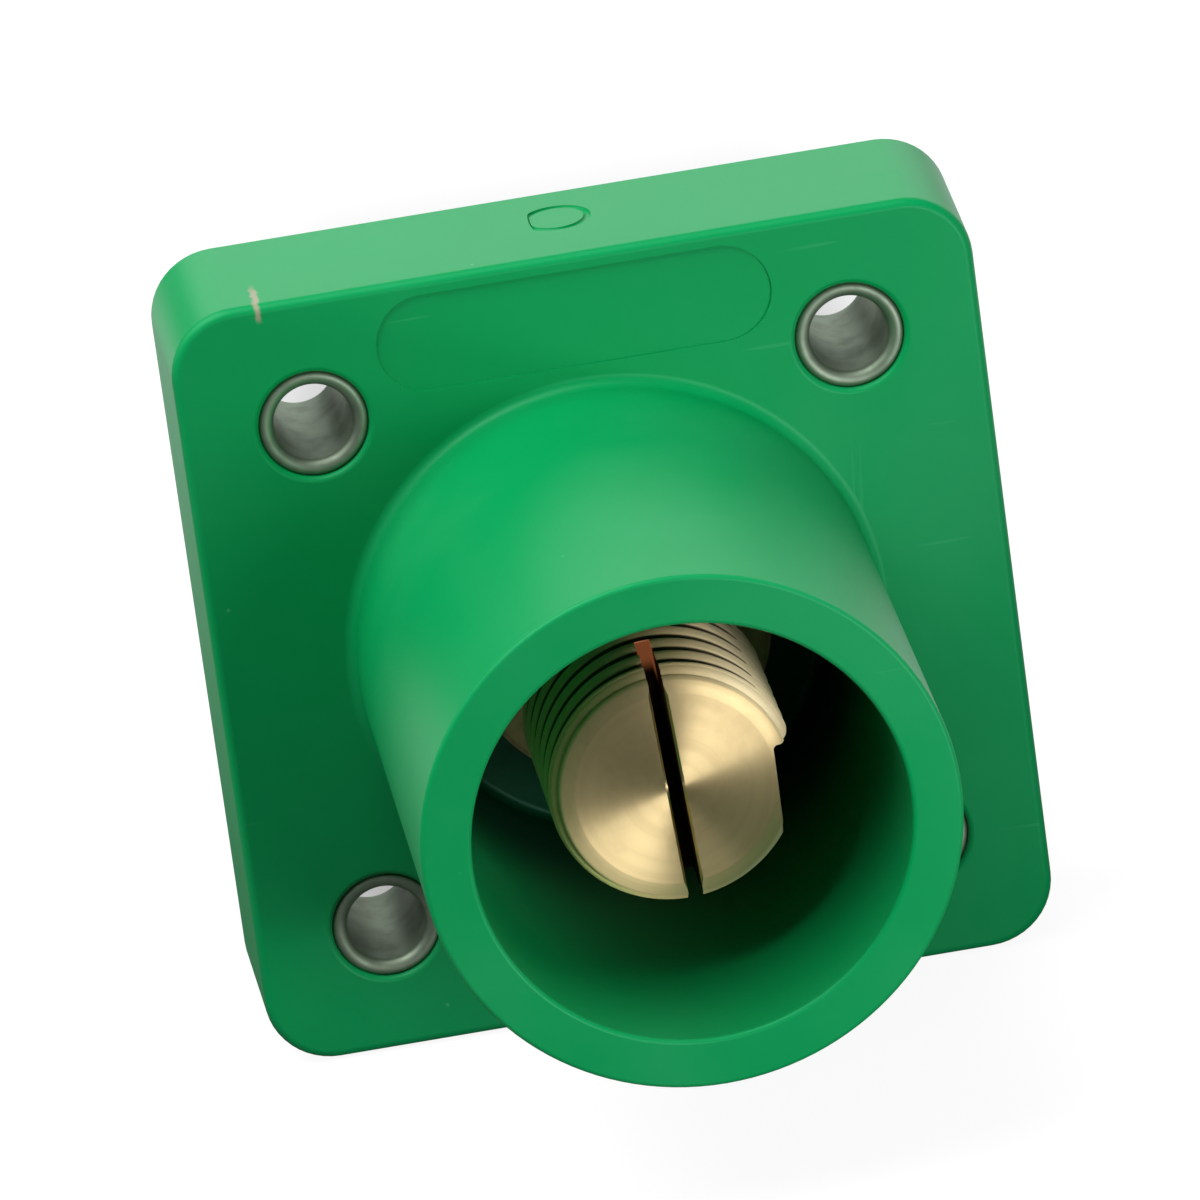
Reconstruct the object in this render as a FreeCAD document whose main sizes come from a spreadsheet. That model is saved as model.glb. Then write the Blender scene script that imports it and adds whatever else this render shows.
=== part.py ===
import FreeCAD, Part
import math
import os
import Sketcher

# Single pole cam lock connector: a panel receptacle with a male contact.
# The square flange's rear face stands on the panel at Y = 0, and the barrel points to -Y.
# A station is a distance in front of that face, so a point at station s has Y = -s.
# The hidden rear has the boss that fills the panel's hole and a stud with its nuts.

os.makedirs("parts", exist_ok=True)
doc = FreeCAD.newDocument("cam_lock_connector")

SIZES = [
    # Moulded insulator
    ("flange_side", 66.3, "side of the square flange at its front face"),
    ("flange_thickness", 15.6, "flange, rear face to front face"),
    ("flange_draft", 0.8, "mould draft of the flange's sides, degrees"),
    ("flange_corner_radius", 5.6, "upright corners of the flange"),
    ("flange_edge", 0.5, "bevel round the flange's front face"),
    ("barrel_radius", 21.65, "outside of the barrel"),
    ("barrel_length", 46.6, "barrel, flange front face to rim"),
    ("barrel_root", 0.7, "bevel between barrel and flange"),
    ("rim_edge", 0.3, "bevels of the barrel's rim"),
    ("cup_radius", 17.55, "inside of the barrel"),
    ("cup_floor_depth", 1.6, "cup floor, behind the flange's front face"),
    ("boss_radius", 18.5, "rear boss that passes through the panel"),
    ("boss_length", 12.7, "rear boss, behind the flange"),
    ("washer_seat_depth", 1.2, "recess in the boss that the seat washer lies in"),
    ("seat_clearance", 0.3, "radial room round the seat washer"),
    # Blank label recess and gate mark
    ("recess_length", 32.7, "blank oval recess, end to end"),
    ("recess_height", 8.3, "blank oval recess, top to bottom"),
    ("recess_depth", 0.25, "blank oval recess, below the front face"),
    ("recess_rise", 27.7, "centre of the recess above the axis"),
    ("gate_radius", 2.9, "ring-shaped gate mark on the top side, outside radius"),
    ("gate_line", 0.6, "gate mark, width of its groove"),
    ("gate_depth", 0.25, "gate mark, depth of its groove"),
    ("gate_station", 6.3, "gate mark, in front of the rear face"),
    # Mounting bushings
    ("mount_spacing", 44.45, "square pitch of the mounting holes"),
    ("bushing_radius", 4.5, "outside of a bushing"),
    ("bushing_bore_radius", 3.25, "screw clearance bore of a bushing"),
    ("bushing_sink", 0.3, "front end of a bushing, below the flange face"),
    ("bushing_funnel", 0.7, "funnel at the front of the bore"),
    ("moulding_gap", 0.02, "radial gap between the insulator and metal in it"),
    # Male contact
    ("pin_recess", 10.1, "pin tip, below the barrel's rim"),
    ("pin_face_radius", 8.2, "flat turned face at the pin's tip"),
    ("pin_bevel_depth", 0.35, "bevel round that face"),
    ("pin_tip_radius", 9.4, "ring at the tip"),
    ("pin_tip_length", 0.8, "ring at the tip, along the pin"),
    ("pin_step_depth", 0.4, "fine groove behind the tip ring"),
    ("pin_land_radius", 10.05, "lands between the ring grooves"),
    ("groove_start", 2.75, "first ring groove, behind the tip"),
    ("groove_pitch", 2.85, "ring grooves, centre to centre"),
    ("groove_count", 6, "number of ring grooves"),
    ("groove_mouth", 1.1, "ring groove, width at the surface"),
    ("groove_depth", 0.85, "ring groove, depth"),
    ("neck_radius", 9.0, "plain neck behind the grooved lands"),
    ("collar_radius", 12.7, "collar that seats on the cup's floor"),
    ("collar_height", 2.6, "collar, cup floor to collar face"),
    ("hexagon_flats", 21.0, "hexagon that stops the contact turning"),
    ("hexagon_depth", 6.0, "hexagon, behind the cup's floor"),
    ("hexagon_gap", 0.05, "gap between the hexagon and its pocket"),
    ("shank_radius", 8.0, "round shank through the insulator"),
    ("slot_width", 1.2, "sawn slot across the tip"),
    ("slot_depth", 10.4, "sawn slot, depth on the axis"),
    ("slot_turn", 3.0, "slot, turned from upright, degrees"),
    ("saw_radius", 20.0, "radius of the slot's floor"),
    ("cam_floor", 8.15, "floor of the cam channel, from the axis"),
    ("cam_top", 3.0, "upper wall of the cam channel, above the axis"),
    ("cam_bottom", 6.4, "lower end of the cam channel, below the axis"),
    ("cam_length", 20.0, "cam channel, from the tip backwards"),
    ("cam_track_width", 6.5, "cam track round the underside, along the pin"),
    ("cam_track_offset", 0.9, "offset of the track's centre from the pin's axis"),
    ("cam_track_radius", 8.3, "floor of the cam track, about that centre"),
    ("cam_track_sweep", 120.0, "cam track, round the pin, degrees"),
    # Rear stud and its hardware
    ("stud_radius", 6.35, "outside of the stud's thread"),
    ("stud_start", 2.5, "stud shoulder, inside the boss's rear face"),
    ("stud_reach", 5.5, "stud, beyond the last nut"),
    ("stud_chamfer", 1.1, "lead-in at the stud's end"),
    ("thread_gap", 0.05, "radial gap between the stud and what is on it"),
    ("washer_gap", 0.4, "radial gap between the stud and a washer"),
    ("washer_radius", 13.0, "outside of a flat washer"),
    ("washer_thickness", 2.4, "flat washer"),
    ("lock_washer_radius", 11.0, "outside of the split lock washer"),
    ("lock_washer_thickness", 3.1, "split lock washer"),
    ("lock_washer_split", 0.9, "gap in the split lock washer"),
    ("lock_washer_slant", 25.0, "slant of that gap, degrees"),
    ("nut_flats", 19.05, "nuts, across the flats"),
    ("nut_thickness", 11.1, "terminal nut"),
    ("jam_nut_thickness", 7.9, "thin nut that holds the contact"),
    ("nut_bevel", 0.9, "bevel of a nut's corners, on its rear face"),
]

sheet = doc.addObject("Spreadsheet::Sheet", "sizes")
for row, (alias, number, note) in enumerate(SIZES, start=1):
    sheet.set("A%d" % row, alias)
    sheet.set("B%d" % row, str(number))
    sheet.set("C%d" % row, note)
    sheet.setAlias("B%d" % row, alias)
doc.recompute()

# Lengths that several pieces share
RIM = "(sizes.flange_thickness + sizes.barrel_length)"
CUP_FLOOR = "(sizes.flange_thickness - sizes.cup_floor_depth)"
TIP = "(%s - sizes.pin_recess)" % RIM
COLLAR_FACE = "(%s + sizes.collar_height)" % CUP_FLOOR
HEXAGON_REAR = "(%s - sizes.hexagon_depth)" % CUP_FLOOR
HALF_SPACING = "(sizes.mount_spacing / 2)"
SHANK_HOLE = "(sizes.shank_radius + sizes.moulding_gap)"
WASHER_SEAT = "(sizes.boss_length - sizes.washer_seat_depth)"

# Distances behind the panel face of the hardware on the stud, each from the one before
JAM_NUT_FRONT = "(%s + sizes.washer_thickness)" % WASHER_SEAT
LUG_WASHER_FRONT = "(%s + sizes.jam_nut_thickness)" % JAM_NUT_FRONT
OUTER_WASHER_FRONT = "(%s + sizes.washer_thickness)" % LUG_WASHER_FRONT
LOCK_WASHER_FRONT = "(%s + sizes.washer_thickness)" % OUTER_WASHER_FRONT
NUT_FRONT = "(%s + sizes.lock_washer_thickness)" % LOCK_WASHER_FRONT
STUD_END = "(%s + sizes.nut_thickness + sizes.stud_reach)" % NUT_FRONT
CUT_MARGIN = 1.0
TOLERANCE = 1e-4

bodies = []


def number_of(expression):
    """Present value of an expression over the sheet."""
    result = sheet.evalExpression(expression)
    return float(getattr(result, "Value", result))


def drive(feature, field, expression):
    """Tie one field of a feature to the sheet."""
    feature.setExpression(field, expression)


def new_body(label):
    """Start a sub-part."""
    body = doc.addObject("PartDesign::Body", label)
    body.Label = label
    bodies.append(body)
    return body


def new_sketch(body, name, role, height=None):
    """Sketch on one of the body's own planes, or at a driven height above it."""
    sketch = body.newObject("Sketcher::SketchObject", body.Label + "_" + name)
    planes = [item for item in body.Origin.OriginFeatures if item.Role == role]
    sketch.AttachmentSupport = [(planes[0], "")]
    sketch.MapMode = "FlatFace"
    if height is not None:
        drive(sketch, "AttachmentOffset.Base.z", height)
    return sketch


def add_driven(sketch, constraint, expression):
    """Add a constraint whose value follows the sheet."""
    index = sketch.addConstraint(constraint)
    sketch.setExpression("Constraints[%d]" % index, expression)


def hold_point(sketch, piece, end, across, along):
    """Hold one point of the sketch at two driven distances from its origin."""
    if across == "0":
        sketch.addConstraint(Sketcher.Constraint("PointOnObject", piece, end, -2))
    else:
        rule = Sketcher.Constraint("DistanceX", -1, 1, piece, end, number_of(across))
        add_driven(sketch, rule, across)
    if along == "0":
        sketch.addConstraint(Sketcher.Constraint("PointOnObject", piece, end, -1))
    else:
        rule = Sketcher.Constraint("DistanceY", -1, 1, piece, end, number_of(along))
        add_driven(sketch, rule, along)


def draw_outline(sketch, corners):
    """Closed straight-sided outline through driven corners."""
    points = [FreeCAD.Vector(number_of(x), number_of(y), 0) for x, y in corners]
    count = len(corners)
    for index in range(count):
        sketch.addGeometry(Part.LineSegment(points[index], points[(index + 1) % count]), False)
    for index in range(count):
        joined = Sketcher.Constraint("Coincident", index, 2, (index + 1) % count, 1)
        sketch.addConstraint(joined)
    for index, (across, along) in enumerate(corners):
        hold_point(sketch, index, 1, across, along)


def draw_circle(sketch, across, along, radius):
    """Circle with a driven centre and radius."""
    centre = FreeCAD.Vector(number_of(across), number_of(along), 0)
    circle = Part.Circle(centre, FreeCAD.Vector(0, 0, 1), number_of(radius))
    piece = sketch.addGeometry(circle, False)
    hold_point(sketch, piece, 3, across, along)
    add_driven(sketch, Sketcher.Constraint("Radius", piece, number_of(radius)), radius)


def draw_oval(sketch, along, half_run, radius):
    """Straight-sided oval, its long axis across the sketch, centred at a driven height."""
    run, end_radius, level = number_of(half_run), number_of(radius), number_of(along)
    normal = FreeCAD.Vector(0, 0, 1)
    first = len(sketch.Geometry)
    for side, start in ((1, -90), (-1, 90)):
        ring = Part.Circle(FreeCAD.Vector(side * run, level, 0), normal, end_radius)
        arc = Part.ArcOfCircle(ring, math.radians(start), math.radians(start + 180))
        sketch.addGeometry(arc, False)
    for side in (1, -1):
        ahead = FreeCAD.Vector(side * run, level + side * end_radius, 0)
        behind = FreeCAD.Vector(-side * run, level + side * end_radius, 0)
        sketch.addGeometry(Part.LineSegment(ahead, behind), False)
    right, left, upper, lower = first, first + 1, first + 2, first + 3
    for piece, follower in ((right, upper), (upper, left), (left, lower), (lower, right)):
        sketch.addConstraint(Sketcher.Constraint("Tangent", piece, 2, follower, 1))
    sketch.addConstraint(Sketcher.Constraint("Equal", right, left))
    hold_point(sketch, right, 3, half_run, along)
    hold_point(sketch, left, 3, "-(%s)" % half_run, along)
    add_driven(sketch, Sketcher.Constraint("Radius", right, end_radius), radius)


def hexagon_corners(flats):
    """Corners of a hexagon with two flats facing sideways."""
    half = "((%s) / 2)" % flats
    low = "((%s) / (2 * sqrt(3)))" % flats
    high = "((%s) / sqrt(3))" % flats
    return [(half, "-" + low), (half, low), ("0", high), ("-" + half, low),
            ("-" + half, "-" + low), ("0", "-" + high)]


def add_pad(body, name, sketch, length, rearward=False):
    """Raise a sketch forwards, or rearwards."""
    pad = body.newObject("PartDesign::Pad", body.Label + "_" + name)
    pad.Profile = sketch
    drive(pad, "Length", length)
    pad.Reversed = rearward
    sketch.Visibility = False
    return pad


def add_pocket(body, name, sketch, length, midplane=False, reverse=False):
    """Cut a sketch into the body and make sure that it takes material away."""
    doc.recompute()
    before = body.Shape.Volume
    pocket = body.newObject("PartDesign::Pocket", body.Label + "_" + name)
    pocket.Profile = sketch
    pocket.Midplane = midplane
    pocket.Reversed = reverse
    drive(pocket, "Length", length)
    doc.recompute()
    if not body.Shape.Volume < before - TOLERANCE:
        raise RuntimeError(pocket.Name + " cut nothing")
    return pocket


def add_turning(body, name, sketch, kind="PartDesign::Revolution"):
    """Turn a sketch of radius and station about the connector's axis."""
    turning = body.newObject(kind, body.Label + "_" + name)
    turning.Profile = sketch
    turning.ReferenceAxis = (sketch, ["V_Axis"])
    turning.Angle = 360.0
    return turning


def add_edge_feature(body, name, kind, field, size, chosen):
    """Fillet or chamfer the edges of the body's present shape that are chosen."""
    doc.recompute()
    base = body.Tip
    picked = ["Edge%d" % (number + 1) for number, edge in enumerate(base.Shape.Edges)
              if chosen(edge)]
    if not picked:
        raise RuntimeError(body.Label + "_" + name + " found no edge")
    feature = body.newObject(kind, body.Label + "_" + name)
    feature.Base = (base, picked)
    drive(feature, field, size)
    return feature


def ring_edge(radius, station):
    """Test for a circular edge of a driven radius at a driven station."""
    wanted_radius, wanted_y = number_of(radius), -number_of(station)

    def chosen(edge):
        curve = edge.Curve
        if not isinstance(curve, Part.Circle):
            return False
        radius_fits = abs(curve.Radius - wanted_radius) < TOLERANCE
        return radius_fits and abs(curve.Center.y - wanted_y) < TOLERANCE
    return chosen


def runs_forward(edge):
    """Test for a straight edge that runs from the rear face to the front face."""
    ends = [vertex.Point for vertex in edge.Vertexes]
    return len(ends) == 2 and abs(ends[0].y - ends[1].y) > CUT_MARGIN


def lies_at(station):
    """Test for an edge that lies wholly at a driven station."""
    level = -number_of(station)

    def chosen(edge):
        box = edge.BoundBox
        return abs(box.YMin - level) < TOLERANCE and abs(box.YMax - level) < TOLERANCE
    return chosen


def make_housing():
    """Green insulator, moulded as one piece: flange, barrel and rear boss."""
    body = new_body("insulator_housing")
    # The front face has the stated side, and the draft widens the flange to the rear
    half = "(sizes.flange_side / 2 + sizes.flange_thickness * tan(sizes.flange_draft * 1 deg))"
    plate = new_sketch(body, "plate", "XZ_Plane")
    draw_outline(plate, [(half, "-" + half), (half, half), ("-" + half, half),
                         ("-" + half, "-" + half)])
    flange = add_pad(body, "flange", plate, "sizes.flange_thickness")
    drive(flange, "TaperAngle", "-sizes.flange_draft * 1 deg")
    add_edge_feature(body, "corners", "PartDesign::Fillet", "Radius",
                     "sizes.flange_corner_radius", runs_forward)
    add_edge_feature(body, "front_edge", "PartDesign::Chamfer", "Size", "sizes.flange_edge",
                     lies_at("sizes.flange_thickness"))

    barrel = new_sketch(body, "barrel_circle", "XZ_Plane")
    draw_circle(barrel, "0", "0", "sizes.barrel_radius")
    add_pad(body, "barrel", barrel, RIM)
    boss = new_sketch(body, "boss_circle", "XZ_Plane")
    draw_circle(boss, "0", "0", "sizes.boss_radius")
    add_pad(body, "boss", boss, "sizes.boss_length", rearward=True)
    add_edge_feature(body, "barrel_root", "PartDesign::Chamfer", "Size", "sizes.barrel_root",
                     ring_edge("sizes.barrel_radius", "sizes.flange_thickness"))

    seat = "(sizes.washer_radius + sizes.seat_clearance)"
    beyond = "(%s + %s)" % (RIM, CUT_MARGIN)
    behind = "(sizes.boss_length + %s)" % CUT_MARGIN
    hollow = new_sketch(body, "hollow", "XY_Plane")
    draw_outline(hollow, [("0", "-" + beyond), ("sizes.cup_radius", "-" + beyond),
                          ("sizes.cup_radius", "-" + CUP_FLOOR), (SHANK_HOLE, "-" + CUP_FLOOR),
                          (SHANK_HOLE, WASHER_SEAT), (seat, WASHER_SEAT), (seat, behind),
                          ("0", behind)])
    add_turning(body, "cup", hollow, "PartDesign::Groove")
    pocket_flats = "(sizes.hexagon_flats + 2 * sizes.hexagon_gap)"
    key = new_sketch(body, "hexagon", "XZ_Plane", CUP_FLOOR)
    draw_outline(key, hexagon_corners(pocket_flats))
    add_pocket(body, "hexagon_pocket", key, "sizes.hexagon_depth")

    rim_front = ring_edge("sizes.barrel_radius", RIM)
    rim_inside = ring_edge("sizes.cup_radius", RIM)
    add_edge_feature(body, "rim_edges", "PartDesign::Chamfer", "Size", "sizes.rim_edge",
                     lambda edge: rim_front(edge) or rim_inside(edge))

    hole = "(sizes.bushing_radius + sizes.moulding_gap)"
    holes = new_sketch(body, "bushing_circles", "XZ_Plane", "sizes.flange_thickness")
    for across in (HALF_SPACING, "-" + HALF_SPACING):
        for along in (HALF_SPACING, "-" + HALF_SPACING):
            draw_circle(holes, across, along, hole)
    add_pocket(body, "bushing_holes", holes, "sizes.flange_thickness + %s" % CUT_MARGIN)

    oval = new_sketch(body, "recess_oval", "XZ_Plane", "sizes.flange_thickness")
    draw_oval(oval, "sizes.recess_rise", "(sizes.recess_length - sizes.recess_height) / 2",
              "sizes.recess_height / 2")
    add_pocket(body, "blank_recess", oval, "sizes.recess_depth")

    # The mark lies on the drafted top side, so its plane is lifted to the side's mid height
    level = ("(sizes.flange_side / 2 + (sizes.flange_thickness - sizes.gate_station)"
             " * tan(sizes.flange_draft * 1 deg))")
    gate = new_sketch(body, "gate_rings", "XY_Plane", level)
    draw_circle(gate, "0", "-sizes.gate_station", "sizes.gate_radius")
    draw_circle(gate, "0", "-sizes.gate_station", "sizes.gate_radius - sizes.gate_line")
    add_pocket(body, "gate_mark", gate, "sizes.gate_depth")


def make_bushing(name, side, rise):
    """Steel bushing that a mounting screw is tightened against."""
    body = new_body(name)
    front = "(sizes.flange_thickness - sizes.bushing_sink)"
    inner, outer = "sizes.bushing_bore_radius", "sizes.bushing_radius"
    funnel = "(%s + sizes.bushing_funnel)" % inner
    section = new_sketch(body, "section", "XY_Plane")
    draw_outline(section, [(inner, "0"), (outer, "0"), (outer, "-" + front),
                           (funnel, "-" + front), (inner, "-(%s - sizes.bushing_funnel)" % front)])
    add_turning(body, "tube", section)
    drive(body, "Placement.Base.x", "%d * %s" % (side, HALF_SPACING))
    drive(body, "Placement.Base.z", "%d * %s" % (rise, HALF_SPACING))


def make_contact():
    """Brass contact, turned and milled as one piece from tip to stud."""
    body = new_body("male_contact")
    tip, ring, land = TIP, "sizes.pin_tip_radius", "sizes.pin_land_radius"
    ring_end = "(%s - sizes.pin_tip_length)" % tip
    step_floor = "(%s - sizes.pin_step_depth)" % ring
    step_end = "(%s - 2 * sizes.pin_step_depth)" % ring_end
    # The lands end half a pitch behind the last ring groove
    lands = "(sizes.groove_start + (sizes.groove_count - 0.5) * sizes.groove_pitch)"
    lands_end = "(%s - %s)" % (tip, lands)
    neck_start = "(%s - (%s - sizes.neck_radius))" % (lands_end, land)
    stud_front = "(sizes.boss_length - sizes.stud_start)"
    section = new_sketch(body, "section", "XY_Plane")
    draw_outline(section, [
        ("0", "-" + tip),
        ("sizes.pin_face_radius", "-" + tip),
        (ring, "-(%s - sizes.pin_bevel_depth)" % tip),
        (ring, "-" + ring_end),
        (step_floor, "-(%s - sizes.pin_step_depth / 2)" % ring_end),
        (ring, "-(%s - sizes.pin_step_depth)" % ring_end),
        (land, "-(%s - (%s - %s))" % (step_end, land, ring)),
        (land, "-" + lands_end),
        ("sizes.neck_radius", "-" + neck_start),
        ("sizes.neck_radius", "-" + COLLAR_FACE),
        ("sizes.collar_radius", "-" + COLLAR_FACE),
        ("sizes.collar_radius", "-" + CUP_FLOOR),
        ("sizes.shank_radius", "-" + CUP_FLOOR),
        ("sizes.shank_radius", stud_front),
        ("sizes.stud_radius", stud_front),
        ("sizes.stud_radius", "(%s - sizes.stud_chamfer)" % STUD_END),
        ("(sizes.stud_radius - sizes.stud_chamfer)", STUD_END),
        ("0", STUD_END)])
    add_turning(body, "turned_form", section)
    key = new_sketch(body, "hexagon", "XZ_Plane", HEXAGON_REAR)
    draw_outline(key, hexagon_corners("sizes.hexagon_flats"))
    add_pad(body, "hexagon_key", key, "sizes.hexagon_depth")

    first = "(%s - sizes.groove_start)" % tip
    floor = "(%s - sizes.groove_depth)" % land
    outside = "(%s + sizes.groove_depth)" % land
    # The groove's flanks run on to clear the land, twice as far as they go into it
    notch = new_sketch(body, "groove_section", "XY_Plane")
    draw_outline(notch, [(floor, "-" + first),
                         (outside, "-(%s - sizes.groove_mouth)" % first),
                         (outside, "-(%s + sizes.groove_mouth)" % first)])
    groove = add_turning(body, "ring_groove", notch, "PartDesign::Groove")
    doc.recompute()
    rings = body.newObject("PartDesign::LinearPattern", "male_contact_ring_grooves")
    rings.Originals = [groove]
    rings.Direction = (notch, ["V_Axis"])
    drive(rings, "Length", "sizes.groove_pitch * (sizes.groove_count - 1)")
    drive(rings, "Occurrences", "sizes.groove_count")
    body.Tip = rings

    # The slot's floor is the arc of the saw that cut it, so the slot runs out at the sides
    sawn = new_sketch(body, "saw", "YZ_Plane")
    turned = FreeCAD.Rotation(FreeCAD.Vector(1, 0, 0), number_of("sizes.slot_turn"))
    sawn.AttachmentOffset = FreeCAD.Placement(FreeCAD.Vector(), turned)
    drive(sawn, "AttachmentOffset.Rotation.Angle", "sizes.slot_turn * 1 deg")
    draw_circle(sawn, "-(%s - sizes.slot_depth + sizes.saw_radius)" % tip, "0",
                "sizes.saw_radius")
    add_pocket(body, "slot", sawn, "sizes.slot_width", midplane=True)

    outer = "(sizes.pin_land_radius + %s)" % CUT_MARGIN
    channel = new_sketch(body, "cam_channel_outline", "XZ_Plane", tip)
    draw_outline(channel, [("sizes.cam_floor", "-sizes.cam_bottom"), (outer, "-sizes.cam_bottom"),
                           (outer, "sizes.cam_top"), ("sizes.cam_floor", "sizes.cam_top")])
    add_pocket(body, "cam_channel", channel, "sizes.cam_length")
    make_cam_track(body, outer)


def make_cam_track(body, outer):
    """Eccentric track from the channel's rear end round the pin's underside."""
    sketch = new_sketch(body, "cam_track_outline", "XZ_Plane",
                        "(%s - sizes.cam_length + sizes.cam_track_width)" % TIP)
    start = -math.degrees(math.asin(number_of("sizes.cam_bottom / sizes.pin_land_radius")))
    start = start + 10.0
    stop = start - number_of("sizes.cam_track_sweep")
    offset, floor, reach = (number_of("sizes.cam_track_offset"),
                            number_of("sizes.cam_track_radius"), number_of(outer))
    normal = FreeCAD.Vector(0, 0, 1)
    inner_ring = Part.Circle(FreeCAD.Vector(0, offset, 0), normal, floor)
    outer_ring = Part.Circle(FreeCAD.Vector(0, 0, 0), normal, reach)
    angles = (math.radians(stop), math.radians(start))
    inner_arc = Part.ArcOfCircle(inner_ring, *angles)
    outer_arc = Part.ArcOfCircle(outer_ring, *angles)
    sketch.addGeometry([inner_arc, outer_arc], False)
    sketch.addGeometry(Part.LineSegment(inner_arc.StartPoint, outer_arc.StartPoint), False)
    sketch.addGeometry(Part.LineSegment(inner_arc.EndPoint, outer_arc.EndPoint), False)
    for line, end in ((2, 1), (3, 2)):
        sketch.addConstraint(Sketcher.Constraint("Coincident", line, 1, 0, end))
        sketch.addConstraint(Sketcher.Constraint("Coincident", line, 2, 1, end))
    hold_point(sketch, 0, 3, "0", "sizes.cam_track_offset")
    hold_point(sketch, 1, 3, "0", "0")
    add_driven(sketch, Sketcher.Constraint("Radius", 0, floor), "sizes.cam_track_radius")
    add_driven(sketch, Sketcher.Constraint("Radius", 1, reach), outer)
    add_pocket(body, "cam_track", sketch, "sizes.cam_track_width")


def make_washer(name, front):
    """Flat washer on the stud."""
    body = new_body(name)
    rear = "sizes.washer_thickness"
    hole = "(sizes.stud_radius + sizes.washer_gap)"
    outer = "sizes.washer_radius"
    section = new_sketch(body, "section", "XY_Plane")
    draw_outline(section, [(hole, "0"), (outer, "0"), (outer, rear), (hole, rear)])
    add_turning(body, "disc", section)
    drive(body, "Placement.Base.y", front)


def make_lock_washer():
    """Split lock washer, pressed flat."""
    body = new_body("split_lock_washer")
    hole = "(sizes.stud_radius + sizes.washer_gap)"
    section = new_sketch(body, "section", "XY_Plane")
    draw_outline(section, [(hole, "0"), ("sizes.lock_washer_radius", "0"),
                           ("sizes.lock_washer_radius", "sizes.lock_washer_thickness"),
                           (hole, "sizes.lock_washer_thickness")])
    add_turning(body, "coil", section)
    # The gap is a slanted strip, seen from above, cut through the upper side only
    rear = "sizes.lock_washer_thickness"
    lean = "(%s * tan(sizes.lock_washer_slant * 1 deg) / 2)" % rear
    half = "(sizes.lock_washer_split / 2)"
    gap = new_sketch(body, "gap", "XY_Plane")
    over = "(%s / 10)" % rear
    draw_outline(gap, [("-(%s + %s)" % (lean, half), "-" + over),
                       ("-(%s - %s)" % (lean, half), "-" + over),
                       ("(%s + %s)" % (lean, half), "(%s + %s)" % (rear, over)),
                       ("(%s - %s)" % (lean, half), "(%s + %s)" % (rear, over))])
    add_pocket(body, "split", gap, "sizes.lock_washer_radius + %s" % CUT_MARGIN, reverse=True)
    drive(body, "Placement.Base.y", LOCK_WASHER_FRONT)


def make_nut(name, front, thickness):
    """Hexagon nut, its corners bevelled on the rear face."""
    body = new_body(name)
    hexagon = new_sketch(body, "hexagon", "XZ_Plane")
    draw_outline(hexagon, hexagon_corners("sizes.nut_flats"))
    add_pad(body, "blank", hexagon, thickness, rearward=True)
    bore = new_sketch(body, "bore", "XZ_Plane")
    draw_circle(bore, "0", "0", "sizes.stud_radius + sizes.thread_gap")
    add_pocket(body, "threaded_bore", bore, thickness)
    # The bevel starts at the circle that the flats touch and falls back along the corners
    flat = "(sizes.nut_flats / 2)"
    corner = "(sizes.nut_flats / sqrt(3))"
    past = "(2 * %s - %s)" % (corner, flat)
    ring = new_sketch(body, "bevel", "XY_Plane")
    draw_outline(ring, [(flat, thickness), (past, "(%s - 2 * sizes.nut_bevel)" % thickness),
                        (past, "(%s + sizes.nut_bevel)" % thickness),
                        (flat, "(%s + sizes.nut_bevel)" % thickness)])
    add_turning(body, "corner_bevel", ring, "PartDesign::Groove")
    drive(body, "Placement.Base.y", front)


def check_and_export():
    """Refuse a failed feature or a bad shape, then write each sub-part."""
    doc.recompute()
    failed = [item.Name for item in doc.Objects
              if "Invalid" in item.State or "Error" in item.State]
    if failed:
        raise RuntimeError("failed features: " + ", ".join(failed))
    for body in bodies:
        shape = body.Shape
        if shape.isNull() or not shape.isValid() or len(shape.Solids) != 1:
            raise RuntimeError(body.Label + " is not one valid solid")
    for body in bodies:
        body.Shape.exportStep("parts/" + body.Label + ".step")
        print(body.Label, "%.1f mm3" % body.Shape.Volume)


make_housing()
for corner_name, corner_side, corner_rise in (("top_left", -1, 1), ("top_right", 1, 1),
                                              ("bottom_left", -1, -1), ("bottom_right", 1, -1)):
    make_bushing("mounting_bushing_" + corner_name, corner_side, corner_rise)
make_contact()
make_washer("seat_washer", WASHER_SEAT)
make_nut("jam_nut", JAM_NUT_FRONT, "sizes.jam_nut_thickness")
make_washer("inner_lug_washer", LUG_WASHER_FRONT)
make_washer("outer_lug_washer", OUTER_WASHER_FRONT)
make_lock_washer()
make_nut("terminal_nut", NUT_FRONT, "sizes.nut_thickness")
check_and_export()
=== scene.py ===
import math

import bpy
from mathutils import Matrix, Quaternion, Vector


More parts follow.
